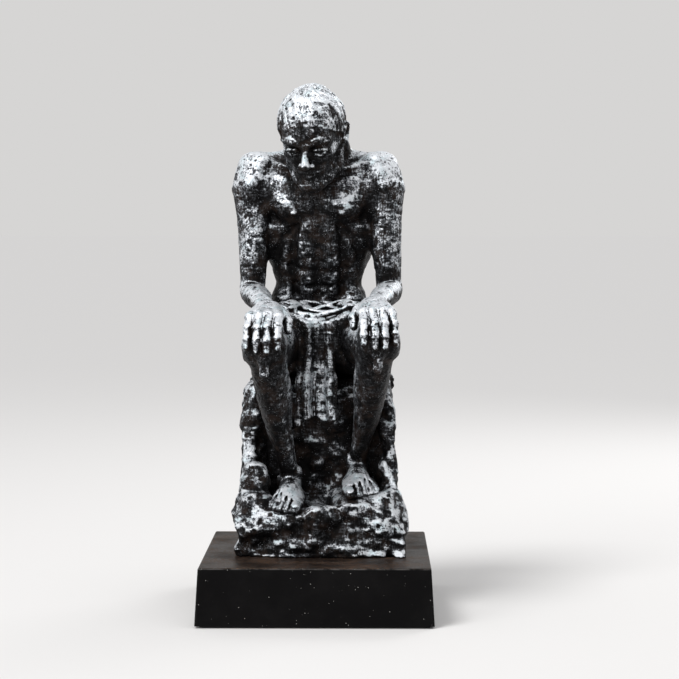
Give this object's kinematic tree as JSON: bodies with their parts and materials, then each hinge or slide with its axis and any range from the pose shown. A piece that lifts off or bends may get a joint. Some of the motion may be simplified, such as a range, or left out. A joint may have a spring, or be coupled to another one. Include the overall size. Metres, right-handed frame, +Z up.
{
  "type": "seated figure ornament",
  "caption": "Seated figure resting on a rough rock with a cloth over its lap, bolted to a tapered black plinth.",
  "frame": {"origin": "centre of the felt pad's underside, on the surface that the ornament stands on", "axes": "+Z up; the figure faces -Y; its left hand is on the +X side"},
  "size_m": [0.108, 0.126, 0.2482],
  "materials": {
    "silvered_casting": "silver metallic paint over black, rubbed bright on the raised forms",
    "silvered_rock": "silver metallic paint over black, pitted and dark in the hollows",
    "black_plinth": "satin black lacquer, dusty on top",
    "black_felt": "short felt",
    "fibreboard": "bare hardboard",
    "zinc_steel": "zinc plated",
    "insert_brass": "turned",
    "ballast_iron": "rough cast"
  },
  "bodies": {
    "root": {"felt_pad": "black_felt", "base_board": "fibreboard", "board_screws": "zinc_steel", "plinth": "black_plinth", "fixing_bolts": "zinc_steel", "fixing_washers": "zinc_steel", "threaded_inserts": "insert_brass", "locating_dowels": "zinc_steel", "ballast_block": "ballast_iron", "hip_dowels": "zinc_steel", "shoulder_dowels": "zinc_steel", "neck_dowel": "zinc_steel", "seat_pins": "zinc_steel", "foot_pins": "zinc_steel", "torso": "silvered_casting", "head": "silvered_casting", "lap_cloth": "silvered_casting", "rock_seat": "silvered_rock", "right_arm": "silvered_casting", "left_arm": "silvered_casting", "right_leg": "silvered_casting", "left_leg": "silvered_casting"}
  },
  "joints": []
}
